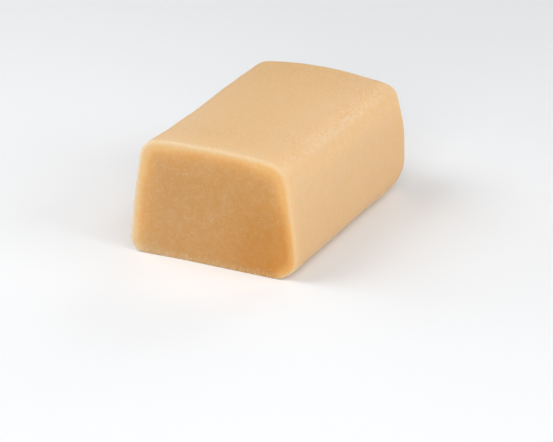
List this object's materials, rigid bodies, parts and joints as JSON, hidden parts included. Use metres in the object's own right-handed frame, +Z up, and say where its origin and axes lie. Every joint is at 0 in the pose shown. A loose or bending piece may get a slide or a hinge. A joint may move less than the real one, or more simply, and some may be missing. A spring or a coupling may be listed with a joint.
{
  "type": "marzipan loaf",
  "caption": "Loaf of raw marzipan with leaning sides, a gently crowned top and soft edges, cut straight across one end so that the paste inside shows.",
  "frame": {"origin": "middle of the underside, on the surface that the loaf rests on", "axes": "+X across the loaf to the right of its cut, +Y along the loaf from the cut to the moulded end, +Z up"},
  "size_m": [0.0894, 0.128, 0.0615],
  "materials": {
    "marzipan": "matte"
  },
  "bodies": {
    "root": {"marzipan_loaf": "marzipan"}
  },
  "joints": []
}
